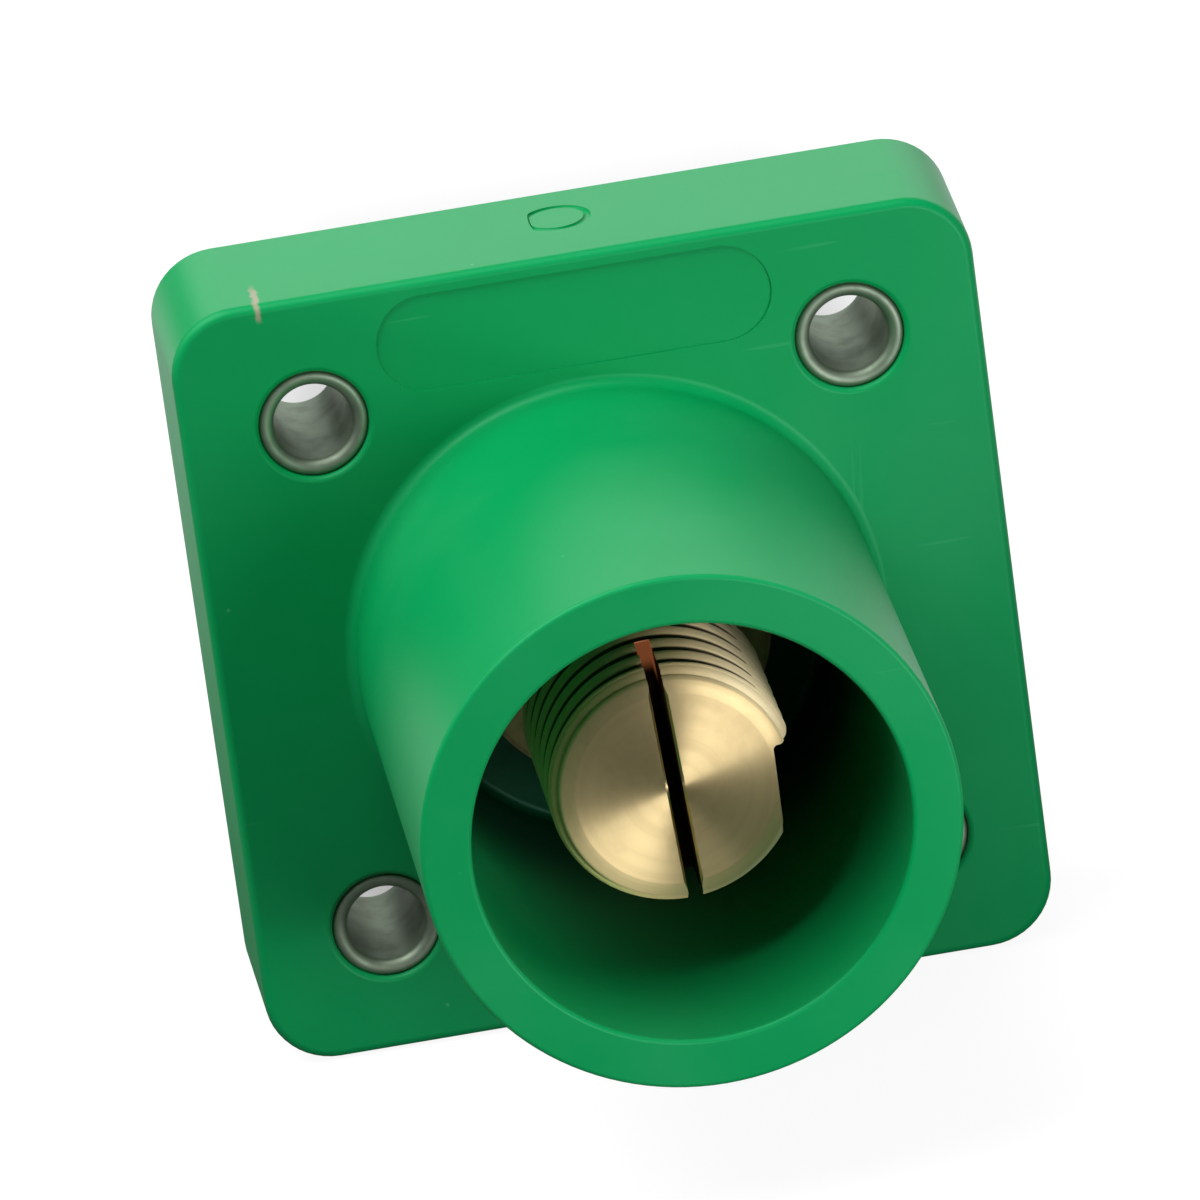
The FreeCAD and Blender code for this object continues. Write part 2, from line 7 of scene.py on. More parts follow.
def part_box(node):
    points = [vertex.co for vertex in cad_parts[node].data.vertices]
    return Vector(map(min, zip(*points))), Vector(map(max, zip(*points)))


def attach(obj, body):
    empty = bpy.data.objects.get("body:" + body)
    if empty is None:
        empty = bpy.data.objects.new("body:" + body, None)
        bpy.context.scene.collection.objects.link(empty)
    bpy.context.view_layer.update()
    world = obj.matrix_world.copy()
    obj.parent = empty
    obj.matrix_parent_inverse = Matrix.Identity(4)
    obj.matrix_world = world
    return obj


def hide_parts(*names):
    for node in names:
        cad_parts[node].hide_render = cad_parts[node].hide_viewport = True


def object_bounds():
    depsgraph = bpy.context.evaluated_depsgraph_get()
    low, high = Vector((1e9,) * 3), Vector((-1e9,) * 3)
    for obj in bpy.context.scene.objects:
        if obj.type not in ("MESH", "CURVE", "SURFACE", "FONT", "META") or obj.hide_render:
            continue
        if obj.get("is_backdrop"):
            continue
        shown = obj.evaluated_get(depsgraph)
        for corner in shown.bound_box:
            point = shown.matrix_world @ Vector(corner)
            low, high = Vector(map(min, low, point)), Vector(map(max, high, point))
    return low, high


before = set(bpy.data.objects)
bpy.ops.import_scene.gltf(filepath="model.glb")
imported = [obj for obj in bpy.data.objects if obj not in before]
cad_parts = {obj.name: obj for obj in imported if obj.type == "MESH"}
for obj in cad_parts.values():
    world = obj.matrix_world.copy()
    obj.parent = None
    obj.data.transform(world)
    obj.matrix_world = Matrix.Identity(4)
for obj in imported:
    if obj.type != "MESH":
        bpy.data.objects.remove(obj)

bl_info = {
    "name": "Cam Lock Receptacle",
    "version": (1, 0, 0),
    "blender": (4, 5, 0),
    "location": "View3D > Sidebar > Receptacle",
    "description": "Builds the dressed panel receptacle round its packed CAD nodes",
    "category": "Add Mesh",
}

# Lengths in the outlines below are millimetres, and HAIR is the finest of them. A station is a
# distance in front of the panel face, so a point at station s has Y = -s. The connector's axis
# is the Y axis.
MM = 0.001
HAIR = 0.002
ROUND_STEPS = 128
FINE_STEPS = 192
SMALL_STEPS = 64
MOULDING_GAP = 0.02
SHANK = 8.0
SHANK_END = -10.2
GATE_STATION = 6.3
AIM = Vector((0.0, -0.03, 0.0))


def node_depth(node):
    """Stations of a CAD node's rear and front ends, in millimetres."""
    low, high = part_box(node)
    return -high.y / MM, -low.y / MM


def node_reach(node):
    """Largest distance of a CAD node from the axis in X, in millimetres."""
    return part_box(node)[1].x / MM


def length(title, text, default):
    """Setting for a length in millimetres."""
    return bpy.props.FloatProperty(name=title, description=text + ", in millimetres",
                                   default=default, min=0.0, precision=3)


def shade(title, text, default):
    """Setting for a colour."""
    return bpy.props.FloatVectorProperty(name=title, description=text, subtype="COLOR", size=3,
                                         min=0.0, max=1.0, default=default)


def watts(title, text, default):
    """Setting for a lamp's power in watts."""
    return bpy.props.FloatProperty(name=title, description="Power of the " + text,
                                   unit="POWER", default=default, min=0.0)


class HousingSizes(bpy.types.PropertyGroup):
    side: length("Flange side", "Side of the flange at its front face", 66.3)
    thickness: length("Flange thickness", "Rear face to front face", 15.6)
    corner: length("Corner radius", "Upright corners of the flange", 5.6)
    edge: length("Front edge", "Rounding of the flange's front edge", 0.75)
    barrel: length("Barrel radius", "Outside of the barrel", 21.65)
    cup: length("Cup radius", "Inside of the barrel", 17.55)
    rim: length("Rim station", "Front of the barrel", node_depth("insulator_housing")[1])
    rim_edge: length("Rim edge", "Rounding of the rim's two edges", 0.4)
    root: length("Barrel root", "Fillet between barrel and flange", 1.0)
    floor: length("Cup floor", "Station of the cup's floor", 14.0)
    boss: length("Boss radius", "Rear boss that fills the panel's hole", 18.5)
    rear: length("Boss length", "Rear boss, behind the flange",
                 -node_depth("insulator_housing")[0])
    recess: length("Recess length", "Blank oval recess, end to end", 32.7)
    recess_height: length("Recess height", "Blank oval recess, top to bottom", 8.3)
    recess_rise: length("Recess rise", "Centre of the recess above the axis", 27.7)
    recess_depth: length("Recess depth", "Blank oval recess, below the face", 0.25)
    mouth: length("Hole mouth", "Bevel of the flange round a bushing", 0.5)


class BushingSizes(bpy.types.PropertyGroup):
    pitch: length("Hole pitch", "Square pitch of the mounting holes", 44.45)
    outside: length("Outside radius", "Outside of a bushing", 4.5)
    bore: length("Bore radius", "Screw clearance bore", 3.25)
    crest: length("Lip crest", "Radius at which the rounded lip stands highest", 4.02)
    front: length("Front station", "Front of a bushing",
                  node_depth("mounting_bushing_top_left")[1])


class ContactSizes(bpy.types.PropertyGroup):
    tip: length("Tip station", "Front face of the pin", node_depth("male_contact")[1])
    face: length("Face radius", "Flat turned face at the tip", 8.15)
    ring: length("Tip ring", "Ring behind that face", 9.4)
    land: length("Land radius", "Lands between the ring grooves", 10.05)
    first: length("First groove", "Ring groove nearest the tip, behind it", 2.75)
    pitch: length("Groove pitch", "Ring grooves, centre to centre", 2.85)
    mouth: length("Groove width", "Ring groove at the surface", 1.1)
    depth: length("Groove depth", "Ring groove below the land", 0.85)
    crown: length("Land crown", "How far a land bulges", 0.12)
    slot: length("Slot width", "Sawn slot across the tip", 1.2)
    slot_depth: length("Slot depth", "Sawn slot on the axis", 10.4)
    saw: length("Saw radius", "Radius of the slot's floor", 20.0)
    turn: bpy.props.FloatProperty(name="Slot turn", description="Slot, turned from upright",
                                  subtype="ANGLE", default=math.radians(3.0))
    cam_floor: length("Cam floor", "Floor of the cam channel, from the axis", 8.15)
    cam_length: length("Cam length", "Cam channel, from the tip backwards", 20.0)
    track_radius: length("Track radius", "Floor of the cam track, about its own centre", 8.3)
    track_offset: length("Track offset", "Centre of the cam track above the axis", 0.9)
    track_width: length("Track width", "Cam track, along the pin", 6.5)
    neck: length("Neck radius", "Plain neck behind the lands", 9.0)
    lands: length("Lands' length", "Rear end of the lands, behind the tip", 18.4)
    seat: length("Collar seat", "Station of the cup's floor, which the collar stands on", 14.0)
    collar_face: length("Collar face", "Station of the collar's front", 16.6)
    collar: length("Collar radius", "Collar on the cup's floor", 12.7)
    stud: length("Stud radius", "Crest of the stud's thread", 6.35)
    thread: length("Thread pitch", "Stud's thread, crest to crest", 1.954)
    end: length("Stud end", "Rear end of the stud", -node_depth("male_contact")[0])


class HardwareSizes(bpy.types.PropertyGroup):
    flats: length("Nut flats", "Nuts, across the flats", 19.05)
    washer: length("Washer radius", "Flat washers", node_reach("seat_washer"))
    lock: length("Lock washer radius", "Split lock washer", node_reach("split_lock_washer"))
    hole: length("Washer hole", "Hole of the washers", 6.75)
    thread_gap: length("Thread gap", "Radial gap between the stud and a nut", 0.05)
    split: length("Split", "Gap in the lock washer", 0.9)
    slant: bpy.props.FloatProperty(name="Slant", description="Slant of that gap",
                                   subtype="ANGLE", default=math.radians(25.0))


class FinishColours(bpy.types.PropertyGroup):
    insulator: shade("Insulator", "Moulded green of the body", (0.0, 0.34, 0.092))
    insulator_pale: shade("Insulator, rubbed", "Same green, rubbed pale", (0.10, 0.52, 0.26))
    # Painted shade, for the cup's depths and the flange's lower right corner
    painted_shade: shade("Painted shade", "Dark floor of the cup", (0.0, 0.028, 0.014))
    scuff: shade("Scuff", "Tan smear on the top edge", (0.42, 0.36, 0.26))
    brass: shade("Contact brass", "Turned brass of the pin", (0.82, 0.64, 0.34))
    brass_dull: shade("Contact brass, dull", "Tarnish in the grooves", (0.34, 0.22, 0.10))
    slot_stain: shade("Slot stain", "Reddish floor of the slot", (0.92, 0.44, 0.24))
    steel: shade("Bushing steel", "Zinc plated bushings", (0.30, 0.37, 0.28))
    hardware: shade("Hardware brass", "Nuts and flat washers", (0.74, 0.57, 0.30))
    spring: shade("Spring steel", "Split lock washer", (0.42, 0.42, 0.43))
    floor: shade("Floor", "Pale floor", (0.15, 0.15, 0.15))


class StageSettings(bpy.types.PropertyGroup):
    lens: length("Lens", "Focal length", 387.2)
    key: watts("Key lamp", "lamp on the right", 1.6)
    top: watts("Top lamp", "lamp overhead", 4.1)
    fill: watts("Fill lamp", "lamp on the left", 0.8)
    card: watts("Card lamp", "low lamp in front", 0.06)
    back: watts("Back lamp", "lamp behind", 1.45)
    sky: bpy.props.FloatProperty(name="Room", description="Level of the light from all round",
                                 default=0.12, min=0.0)


# Modelling helpers

def clear():
    """Leave edit mode and select nothing."""
    if bpy.context.mode != "OBJECT":
        bpy.ops.object.mode_set(mode="OBJECT")
    bpy.ops.object.select_all(action="DESELECT")


def take(piece):
    """Select one piece alone and make it active."""
    clear()
    piece.select_set(True)
    bpy.context.view_layer.objects.active = piece


def edit(piece):
    """Enter edit mode on one piece with all of its mesh selected."""
    take(piece)
    bpy.ops.object.mode_set(mode="EDIT")
    bpy.ops.mesh.select_mode(type="VERT")
    bpy.ops.mesh.select_all(action="SELECT")


def choose(piece, kind, passes):
    """Enter edit mode with only the vertices, edges or faces that pass a test selected."""
    edit(piece)
    bpy.ops.mesh.select_mode(type=kind)
    bpy.ops.mesh.select_all(action="DESELECT")
    bpy.ops.object.mode_set(mode="OBJECT")
    mesh = piece.data
    if kind == "VERT":
        for vertex in mesh.vertices:
            vertex.select = passes(vertex.co / MM)
    elif kind == "EDGE":
        for line in mesh.edges:
            first, last = (mesh.vertices[index].co / MM for index in line.vertices)
            line.select = passes(first, last)
    else:
        for face in mesh.polygons:
            face.select = passes(face.center / MM, face.normal)
    bpy.ops.object.mode_set(mode="EDIT")


def named(name):
    """Name the new primitive, apply its place to its mesh and hand it back."""
    piece = bpy.context.active_object
    piece.name = name
    piece.data.name = name
    take(piece)
    bpy.ops.object.transform_apply(location=True, rotation=True, scale=True)
    return piece


def block(name, centre, sides):
    """Box at a place, in millimetres."""
    clear()
    bpy.ops.mesh.primitive_cube_add(size=MM, location=[value * MM for value in centre],
                                    scale=sides)
    return named(name)


def close_up(piece):
    """Merge what lies together and turn the faces outwards."""
    edit(piece)
    bpy.ops.mesh.remove_doubles(threshold=HAIR * MM)
    bpy.ops.mesh.normals_make_consistent(inside=False)
    clear()


def traced(name, points):
    """Line through points in millimetres, left in edit mode with all of it selected."""
    clear()
    bpy.ops.mesh.primitive_plane_add(size=MM)
    line = named(name)
    edit(line)
    bpy.ops.mesh.merge(type="CENTER")
    bpy.ops.transform.translate(value=[value * MM for value in points[0]])
    for last, point in zip(points, points[1:]):
        step = [(new - old) * MM for old, new in zip(last, point)]
        bpy.ops.mesh.extrude_region_move(TRANSFORM_OT_translate={"value": step})
    bpy.ops.mesh.select_all(action="SELECT")
    return line


def turned(name, outline, steps, looped=False):
    """Turn an outline of radius and station about the connector's axis."""
    path = outline + (outline[:1] if looped else [])
    piece = traced(name, [(radius, -station, 0) for radius, station in path])
    if looped:
        bpy.ops.mesh.remove_doubles(threshold=HAIR * MM)
    bpy.ops.mesh.spin(steps=steps, angle=math.tau, center=(0, 0, 0), axis=(0, 1, 0))
    close_up(piece)
    return piece


def prism(name, outline, front, rear):
    """Bar along the axis between two stations, over an outline of X and Z."""
    bar = traced(name, [(across, -front, rise) for across, rise in outline])
    bpy.ops.mesh.edge_face_add()
    bpy.ops.mesh.extrude_region_move(
        TRANSFORM_OT_translate={"value": (0, (front - rear) * MM, 0)})
    close_up(bar)
    return bar


def rounded(centre, radius, start, stop, count):
    """Points of an arc in an outline. Angles in degrees, 0 outwards and 90 forwards."""
    points = []
    for index in range(count + 1):
        angle = math.radians(start + (stop - start) * index / count)
        points.append((centre[0] + radius * math.cos(angle),
                       centre[1] + radius * math.sin(angle)))
    return points


def carve(piece, cutter, way="DIFFERENCE"):
    """Cut, join or cross a piece with another, which is used up."""
    take(piece)
    cut = piece.modifiers.new("cut", "BOOLEAN")
    cut.operation = way
    cut.solver = "EXACT"
    cut.object = cutter
    bpy.ops.object.modifier_apply(modifier=cut.name)
    bpy.data.objects.remove(cutter, do_unlink=True)


def soften(piece, passes, width, segments):
    """Round the edges of a piece that pass a test."""
    choose(piece, "EDGE", passes)
    bpy.ops.mesh.bevel(offset=width * MM, offset_type="OFFSET", segments=segments,
                       profile=0.5, affect="EDGES")
    clear()


def join(piece, *others):
    """Put other pieces' meshes into one piece."""
    take(piece)
    for other in others:
        other.select_set(True)
    bpy.ops.object.join()
    clear()


def shade_smooth(piece, degrees):
    """Shade smooth across soft edges, with flat faces kept flat."""
    take(piece)
    bpy.ops.object.shade_smooth_by_angle(angle=math.radians(degrees))
    weigh = piece.modifiers.new("flat_faces", "WEIGHTED_NORMAL")
    weigh.keep_sharp = True
    weigh.weight = 50
    bpy.ops.object.modifier_apply(modifier=weigh.name)
    clear()


def copy_at(piece, name, place):
    """Copy of a piece with its own mesh, moved in its mesh."""
    take(piece)
    bpy.ops.object.duplicate()
    copy = bpy.context.active_object
    copy.name = name
    copy.data.name = name
    edit(copy)
    bpy.ops.transform.translate(value=[value * MM for value in place])
    clear()
    return copy


def dress(piece, slot, node):
    """Give a finished piece the material of its slot, hide the CAD node that it stands for and put
    it in the root body.
    """
    piece.data.materials.clear()
    piece.data.materials.append(finish_for(slot))
    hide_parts(node)
    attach(piece, "root")


def from_axis(point):
    """Distance of a point from the connector's axis."""
    return math.hypot(point.x, point.z)


def ring_at(radius, station):
    """Test for the edges of a ring about the axis."""
    def passes(first, last):
        return all(abs(from_axis(point) - radius) < 10 * HAIR
                   and abs(point.y + station) < 10 * HAIR for point in (first, last))
    return passes


# Shader helpers and the effects that several materials share

def feed(tree, node, inputs):
    """Link or set a node's inputs."""
    for socket, value in inputs.items():
        if isinstance(value, bpy.types.NodeSocket):
            tree.links.new(value, node.inputs[socket])
        else:
            node.inputs[socket].default_value = value


def add_node(tree, kind, fields=None, inputs=None):
    """Add a shader node, set its fields, and link or set its inputs."""
    fresh = tree.nodes.new(kind)
    for field, value in (fields or {}).items():
        setattr(fresh, field, value)
    feed(tree, fresh, inputs or {})
    return fresh


def work_out(tree, operation, *values):
    """Math node over numbers and sockets."""
    inputs = dict(enumerate(values))
    return add_node(tree, "ShaderNodeMath", {"operation": operation}, inputs).outputs[0]


def times(tree, first, *others):
    """Product of several numbers and sockets."""
    for other in others:
        first = work_out(tree, "MULTIPLY", first, other)
    return first


def ease(tree, value, start, stop):
    """Number that goes smoothly from 0 to 1 as a value goes from start to stop."""
    ramp = add_node(tree, "ShaderNodeMapRange", {"interpolation_type": "SMOOTHSTEP"},
                    {"Value": value, "From Min": start, "From Max": stop})
    return ramp.outputs["Result"]


def blend_colours(tree, share, first, second):
    """Colour between two colours."""
    mix = add_node(tree, "ShaderNodeMix", {"data_type": "RGBA"},
                   {0: share, 6: first, 7: second})
    return mix.outputs[2]


def axes(tree, place):
    """Sockets that hold the X, Y and Z of a place."""
    return add_node(tree, "ShaderNodeSeparateXYZ", None, {"Vector": place}).outputs


def noise(tree, coordinate, scale, detail=2.0, rough=0.5):
    """Noise over a place, as a number about 0.5."""
    field = add_node(tree, "ShaderNodeTexNoise", None,
                     {"Vector": coordinate, "Scale": scale, "Detail": detail,
                      "Roughness": rough})
    return field.outputs["Fac"]


def start_group(name, takes, gives):
    """New shader group with its sockets, its input node and its output node."""
    tree = bpy.data.node_groups.new(name, "ShaderNodeTree")
    for label, kind, default in takes:
        socket = tree.interface.new_socket(name=label, in_out="INPUT", socket_type=kind)
        if default is not None:
            socket.default_value = default
    for label in gives:
        tree.interface.new_socket(name=label, in_out="OUTPUT", socket_type="NodeSocketFloat")
    return tree, tree.nodes.new("NodeGroupInput").outputs, tree.nodes.new("NodeGroupOutput")


def give(tree, result, label, value):
    """Link a value to one of a group's outputs."""
    tree.links.new(value, result.inputs[label])


def make_moulded_grain():
    """Fine grain, soft waves and slow clouds of a moulded surface."""
    tree, given, result = start_group(
        "moulded_grain",
        (("Coordinate", "NodeSocketVector", None), ("Grain", "NodeSocketFloat", 5200.0),
         ("Waves", "NodeSocketFloat", 190.0)),
        ("Height", "Cloud"))
    fine = noise(tree, given["Coordinate"], given["Grain"], 3.0, 0.6)
    waves = noise(tree, given["Coordinate"], given["Waves"], 2.0)
    both = work_out(tree, "MULTIPLY_ADD", waves, 2.4, fine)
    cloud = noise(tree, given["Coordinate"], work_out(tree, "DIVIDE", given["Waves"], 4.0), 4.0)
    give(tree, result, "Height", both)
    give(tree, result, "Cloud", cloud)
    return tree


def make_turning_marks():
    """Rings that a lathe tool leaves, over the ends and along the sides alike."""
    tree, given, result = start_group(
        "turning_marks",
        (("Coordinate", "NodeSocketVector", None), ("Lines", "NodeSocketFloat", 9000.0)),
        ("Height", "Streak"))
    parts = axes(tree, given["Coordinate"])
    along = work_out(tree, "ADD", from_line(tree, parts), parts["Y"])
    fine = add_node(tree, "ShaderNodeTexNoise", {"noise_dimensions": "1D"},
                    {"W": along, "Scale": given["Lines"], "Detail": 2.0})
    broad = add_node(tree, "ShaderNodeTexNoise", {"noise_dimensions": "1D"},
                     {"W": along, "Scale": work_out(tree, "DIVIDE", given["Lines"], 9.0),
                      "Detail": 3.0})
    give(tree, result, "Height", fine.outputs["Fac"])
    give(tree, result, "Streak", broad.outputs["Fac"])
    return tree


def make_handling_marks():
    """Small light specks and faint scratches from handling."""
    tree, given, result = start_group(
        "handling_marks",
        (("Coordinate", "NodeSocketVector", None), ("Spacing", "NodeSocketFloat", 0.006),
         ("Size", "NodeSocketFloat", 0.04)),
        ("Specks", "Scratches"))
    scale = work_out(tree, "DIVIDE", 1.0, given["Spacing"])
    cells = add_node(tree, "ShaderNodeTexVoronoi", None,
                     {"Vector": given["Coordinate"], "Scale": scale, "Randomness": 1.0})
    few = add_node(tree, "ShaderNodeSeparateColor", None, {"Color": cells.outputs["Color"]})
    chosen = work_out(tree, "GREATER_THAN", few.outputs["Red"], 0.72)
    near = ease(tree, cells.outputs["Distance"], given["Size"], 0.0)
    give(tree, result, "Specks", times(tree, near, chosen))
    drawn = add_node(tree, "ShaderNodeMapping", None,
                     {"Vector": given["Coordinate"], "Rotation": (0.4, 0.3, 0.9),
                      "Scale": (1.0, 34.0, 22.0)})
    lines = noise(tree, drawn.outputs["Vector"], 60.0, 1.0)
    patch = noise(tree, given["Coordinate"], 95.0, 1.0)
    give(tree, result, "Scratches", times(tree, ease(tree, lines, 0.735, 0.77),
                                          ease(tree, patch, 0.5, 0.6)))
    return tree


def shared(name):
    """One of the shared effects, built the first time that it is asked for."""
    makers = {"moulded_grain": make_moulded_grain, "turning_marks": make_turning_marks,
              "handling_marks": make_handling_marks}
    return bpy.data.node_groups.get(name) or makers[name]()


def place_effect(tree, name, coordinate, **values):
    """Place a shared effect in a material with its own values."""
    effect = add_node(tree, "ShaderNodeGroup", {"node_tree": shared(name)},
                      {"Coordinate": coordinate, **values})
    return effect.outputs


def start_material(name):
    """New material: its tree, its surface shader and the object's coordinates."""
    material = bpy.data.materials.new(name)
    material.use_nodes = True
    tree = material.node_tree
    surface = tree.nodes["Principled BSDF"]
    place = add_node(tree, "ShaderNodeTexCoord").outputs["Object"]
    return material, tree, surface, place


def bump(tree, surface, height, strength, distance):
    """Raise the surface by a height, in millimetres at full strength."""
    node = add_node(tree, "ShaderNodeBump", None,
                    {"Strength": strength, "Distance": distance * MM, "Height": height})
    feed(tree, surface, {"Normal": node.outputs["Normal"]})


def opaque(colour):
    """Colour setting as a colour with alpha."""
    return (*colour, 1.0)


def window(tree, value, low, high, soft):
    """Number that is 1 where a value lies between two limits, with soft ends."""
    after = ease(tree, value, low - soft, low + soft)
    before = ease(tree, value, high + soft, high - soft)
    return times(tree, after, before)


def green_insulator(colours):
    """Satin moulded plastic with grain, slow clouds, rubbed specks, a tan smear, and painted shade
    in the cup and on the flange.
    """
    material, tree, surface, place = start_material("finished_green_insulator")
    grain = place_effect(tree, "moulded_grain", place)
    marks = place_effect(tree, "handling_marks", place)
    pale = times(tree, ease(tree, grain["Cloud"], 0.40, 0.75), 0.10)
    colour = blend_colours(tree, pale, opaque(colours.insulator),
                           opaque(colours.insulator_pale))
    rubbed = work_out(tree, "MAXIMUM", times(tree, marks["Specks"], 0.8),
                      times(tree, marks["Scratches"], 0.16))
    colour = blend_colours(tree, rubbed, colour, opaque(colours.insulator_pale))
    # The smear crosses the top edge near the left corner
    parts = axes(tree, place)
    ragged = work_out(tree, "MULTIPLY_ADD", noise(tree, place, 900.0, 3.0), 0.7 * MM,
                      parts["X"])
    smear = times(tree, window(tree, ragged, -25.35 * MM, -24.85 * MM, 0.16 * MM),
                  ease(tree, parts["Y"], -10.0 * MM, -12.5 * MM),
                  ease(tree, parts["Z"], 31.5 * MM, 32.2 * MM), 0.85)
    colour = blend_colours(tree, smear, colour, opaque(colours.scuff))
    # Painted shade near the cup's floor, within the barrel
    cup_shade = times(tree, ease(tree, parts["Y"], -38.0 * MM, -20.0 * MM),
                 ease(tree, from_line(tree, parts), 18.2 * MM, 17.9 * MM),
                 ease(tree, parts["Y"], 0.0, -2.0 * MM), 0.85)
    colour = blend_colours(tree, cup_shade, colour, opaque(colours.painted_shade))
    # Painted shade: the flange is darker towards its lower right corner
    slant = work_out(tree, "MULTIPLY_ADD", parts["X"], -0.45, parts["Z"])
    dull = times(tree, ease(tree, slant, 15.0 * MM, -28.0 * MM),
                 ease(tree, parts["Y"], -20.0 * MM, -16.5 * MM), 0.28)
    colour = blend_colours(tree, dull, colour, opaque(colours.painted_shade))
    rough = work_out(tree, "MULTIPLY_ADD", grain["Cloud"], 0.12, 0.37)
    feed(tree, surface, {"Base Color": colour, "Roughness": rough, "Specular IOR Level": 0.32,
                         "Specular Tint": (0.45, 1.0, 0.72, 1.0)})
    bump(tree, surface, grain["Height"], 0.16, 0.03)
    return material


def from_line(tree, parts):
    """Distance of the shaded point from the connector's axis, in metres."""
    across = work_out(tree, "MULTIPLY", parts["X"], parts["X"])
    return work_out(tree, "SQRT", work_out(tree, "MULTIPLY_ADD", parts["Z"],
                                           parts["Z"], across))


def round_grain(tree, place):
    """Direction of a lathe tool's scratches, round the connector's axis."""
    cross = add_node(tree, "ShaderNodeVectorMath", {"operation": "CROSS_PRODUCT"},
                     {0: (0.0, 1.0, 0.0), 1: place})
    flat = add_node(tree, "ShaderNodeVectorMath", {"operation": "NORMALIZE"},
                    {0: cross.outputs["Vector"]})
    return flat.outputs["Vector"]


def contact_brass(colours):
    """Bright turned brass, tarnished, stained red in its slot, with painted shade in its grooves and
    slot and painted light on its lands.
    """
    material, tree, surface, place = start_material("finished_contact_brass")
    marks = place_effect(tree, "turning_marks", place, Lines=7000.0)
    wear = place_effect(tree, "handling_marks", place, Spacing=0.0035, Size=0.03)
    cloud = noise(tree, place, 260.0, 4.0, 0.6)
    tarnish = times(tree, ease(tree, cloud, 0.42, 0.75), 0.22)
    streak = times(tree, ease(tree, marks["Streak"], 0.45, 0.7), 0.10)
    dull = work_out(tree, "MAXIMUM", work_out(tree, "MAXIMUM", tarnish, streak),
                    times(tree, wear["Specks"], 0.7))
    colour = blend_colours(tree, dull, opaque(colours.brass), opaque(colours.brass_dull))
    # Painted light on the lands: painted shade and green reflection on the left, a painted pale
    # highlight on the right
    parts = axes(tree, place)
    lands = window(tree, parts["Y"], -51.65 * MM, -33.0 * MM, 0.2 * MM)
    for edge, share, painted_light in ((-7.0, 0.42, (0.05, 0.36, 0.03, 1.0)),
                              (7.0, 0.32, (0.98, 0.95, 0.75, 1.0))):
        side = times(tree, ease(tree, parts["X"], 0.0, edge * MM), lands, share)
        colour = blend_colours(tree, side, colour, painted_light)
    # Painted shade on the slot's walls and floor, in the slot's own turned directions, with the
    # floor's reddish stain where it runs out
    sizes = bpy.context.scene.contact_sizes
    aligned = add_node(tree, "ShaderNodeMapping", None,
                       {"Vector": place, "Rotation": (0.0, sizes.turn, 0.0)})
    parts = axes(tree, aligned.outputs["Vector"])
    half = (sizes.slot / 2 + 0.02) * MM
    inside = window(tree, parts["X"], -half, half, 0.01 * MM)
    behind = ease(tree, parts["Y"], -51.9 * MM, -51.4 * MM)
    height = work_out(tree, "ABSOLUTE", parts["Z"])
    ahead = ease(tree, work_out(tree, "MULTIPLY_ADD", height, 0.5, parts["Y"]),
                 -39.15 * MM, -39.3 * MM)
    stain = times(tree, inside, behind, ahead, 0.95)
    runout = times(tree, ease(tree, parts["Z"], 4.0 * MM, 5.5 * MM),
                   ease(tree, parts["Y"], -50.8 * MM, -49.2 * MM))
    floor = blend_colours(tree, runout, (0.035, 0.022, 0.012, 1.0), opaque(colours.slot_stain))
    colour = blend_colours(tree, stain, colour, floor)
    # Painted shade in the ring grooves, but not on the milled cam channel
    groove_shade = times(tree, ease(tree, from_line(tree, parts), 9.92 * MM, 9.80 * MM),
                window(tree, parts["Y"], -50.0 * MM, -33.0 * MM, 0.05 * MM),
                ease(tree, parts["X"], 8.1 * MM, 7.9 * MM), 0.92)
    colour = blend_colours(tree, groove_shade, colour, (0.030, 0.020, 0.010, 1.0))
    rough = work_out(tree, "MULTIPLY_ADD", marks["Streak"], 0.12, 0.405)
    rough = work_out(tree, "MULTIPLY_ADD", behind, 0.10, rough)
    rough = work_out(tree, "MULTIPLY_ADD", wear["Scratches"], 0.12, rough)
    # Red light that the slot's walls pass on to its floor, where it runs out
    glow = times(tree, ease(tree, parts["Z"], 6.6 * MM, 8.2 * MM),
                 ease(tree, parts["Y"], -47.0 * MM, -45.5 * MM), inside, ahead)
    light = blend_colours(tree, glow, (0.0, 0.0, 0.0, 1.0), (0.15, 0.045, 0.016, 1.0))
    feed(tree, surface, {"Base Color": colour, "Roughness": rough, "Metallic": 1.0,
                         "Anisotropic": 0.92, "Anisotropic Rotation": 0.25,
                         "Tangent": round_grain(tree, place), "Emission Color": light,
                         "Emission Strength": 1.0})
    bump(tree, surface, marks["Height"], 0.22, 0.012)
    return material


def bushing_steel(colours):
    """Zinc plated steel, dull and slightly olive, with grime in its bore."""
    material, tree, surface, place = start_material("finished_bushing_steel")
    cloud = noise(tree, place, 420.0, 4.0, 0.6)
    fine = noise(tree, place, 3800.0, 3.0, 0.6)
    marks = place_effect(tree, "handling_marks", place, Spacing=0.002, Size=0.05)
    grime = times(tree, ease(tree, cloud, 0.40, 0.72), 0.35)
    colour = blend_colours(tree, grime, opaque(colours.steel), (0.13, 0.16, 0.11, 1.0))
    colour = blend_colours(tree, marks["Specks"], colour, (0.7, 0.7, 0.68, 1.0))
    rough = work_out(tree, "MULTIPLY_ADD", cloud, 0.16, 0.50)
    feed(tree, surface, {"Base Color": colour, "Roughness": rough, "Metallic": 1.0})
    bump(tree, surface, fine, 0.2, 0.01)
    return material


